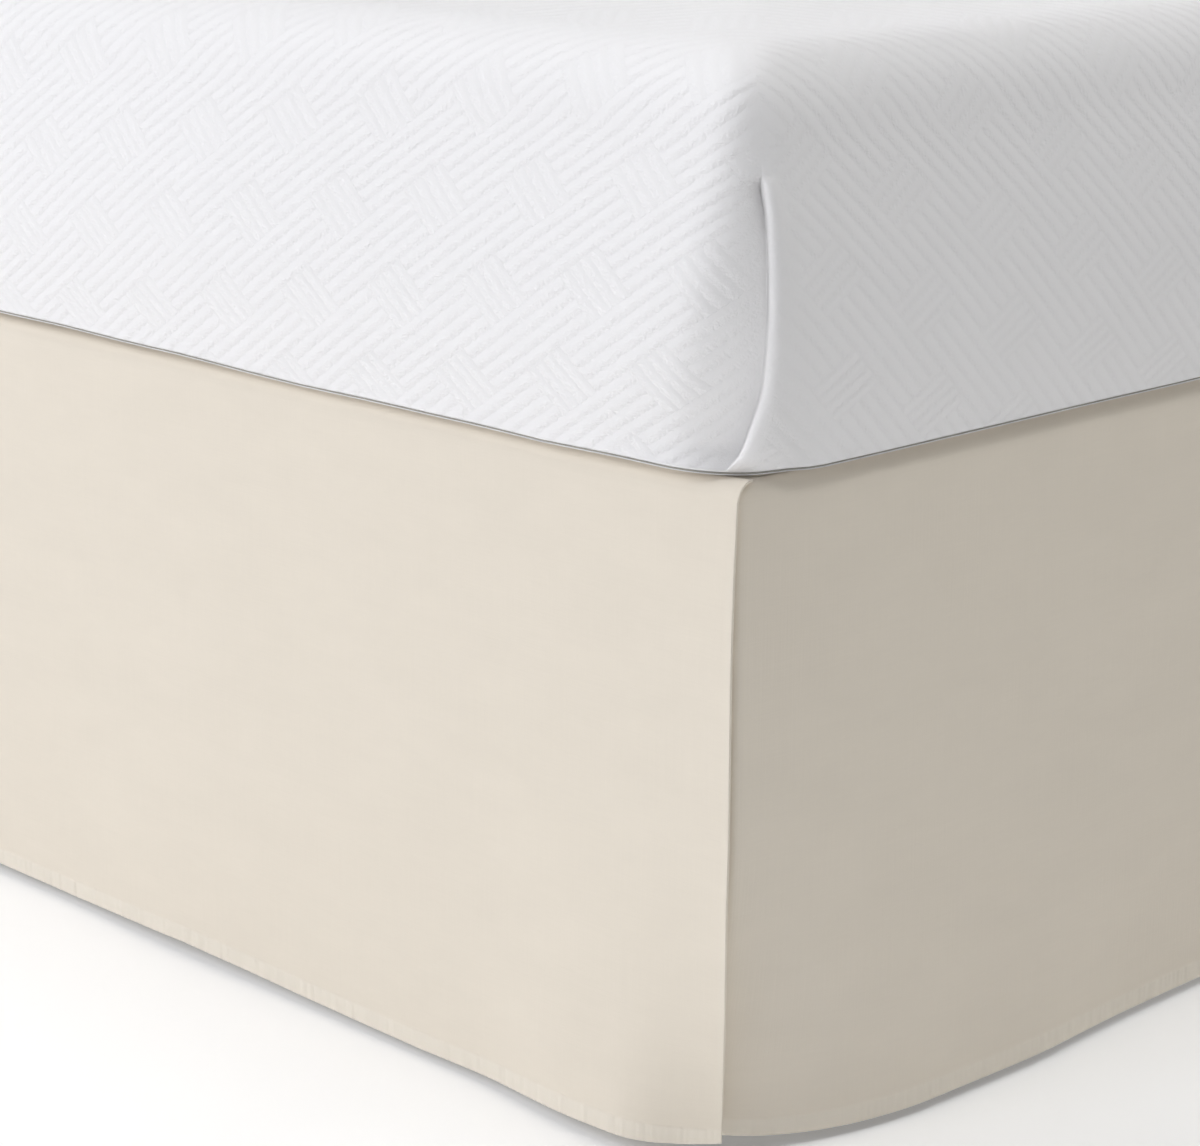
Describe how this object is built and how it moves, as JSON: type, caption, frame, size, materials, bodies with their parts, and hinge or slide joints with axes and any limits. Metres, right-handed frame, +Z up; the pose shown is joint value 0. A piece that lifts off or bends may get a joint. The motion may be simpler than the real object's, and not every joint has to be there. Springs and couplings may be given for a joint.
{
  "type": "bed skirt on a bed",
  "caption": "Tailored split-corner bed skirt on a plain bed: flat cloth panels sewn to a deck under the mattress hang over the box spring to just above the floor.",
  "frame": {"origin": "on the floor, under the middle of the bed's box", "axes": "+Z up, +Y towards the open head of the bed, -Y towards its foot, +X to the right seen from the foot"},
  "size_m": [1.539, 2.0491, 0.6394],
  "materials": {
    "skirt_cotton": "matt plain-weave cotton, ivory",
    "mattress_ticking": "matt white woven ticking",
    "box_spring_cover": "matt off-white woven cover",
    "frame_steel": "black powder coat",
    "glide_plastic": "matt black moulded plastic"
  },
  "bodies": {
    "root": {"deck": "skirt_cotton", "drop_left": "skirt_cotton", "drop_right": "skirt_cotton", "drop_foot": "skirt_cotton", "box_spring": "box_spring_cover", "mattress": "mattress_ticking", "rail_left": "frame_steel", "rail_right": "frame_steel", "cross_rail_foot": "frame_steel", "cross_rail_middle": "frame_steel", "cross_rail_head": "frame_steel", "leg_foot_left": "frame_steel", "leg_foot_centre": "frame_steel", "leg_foot_right": "frame_steel", "leg_middle_centre": "frame_steel", "leg_head_left": "frame_steel", "leg_head_centre": "frame_steel", "leg_head_right": "frame_steel", "glide_foot_left": "glide_plastic", "glide_foot_centre": "glide_plastic", "glide_foot_right": "glide_plastic", "glide_middle_centre": "glide_plastic", "glide_head_left": "glide_plastic", "glide_head_centre": "glide_plastic", "glide_head_right": "glide_plastic"}
  },
  "joints": []
}
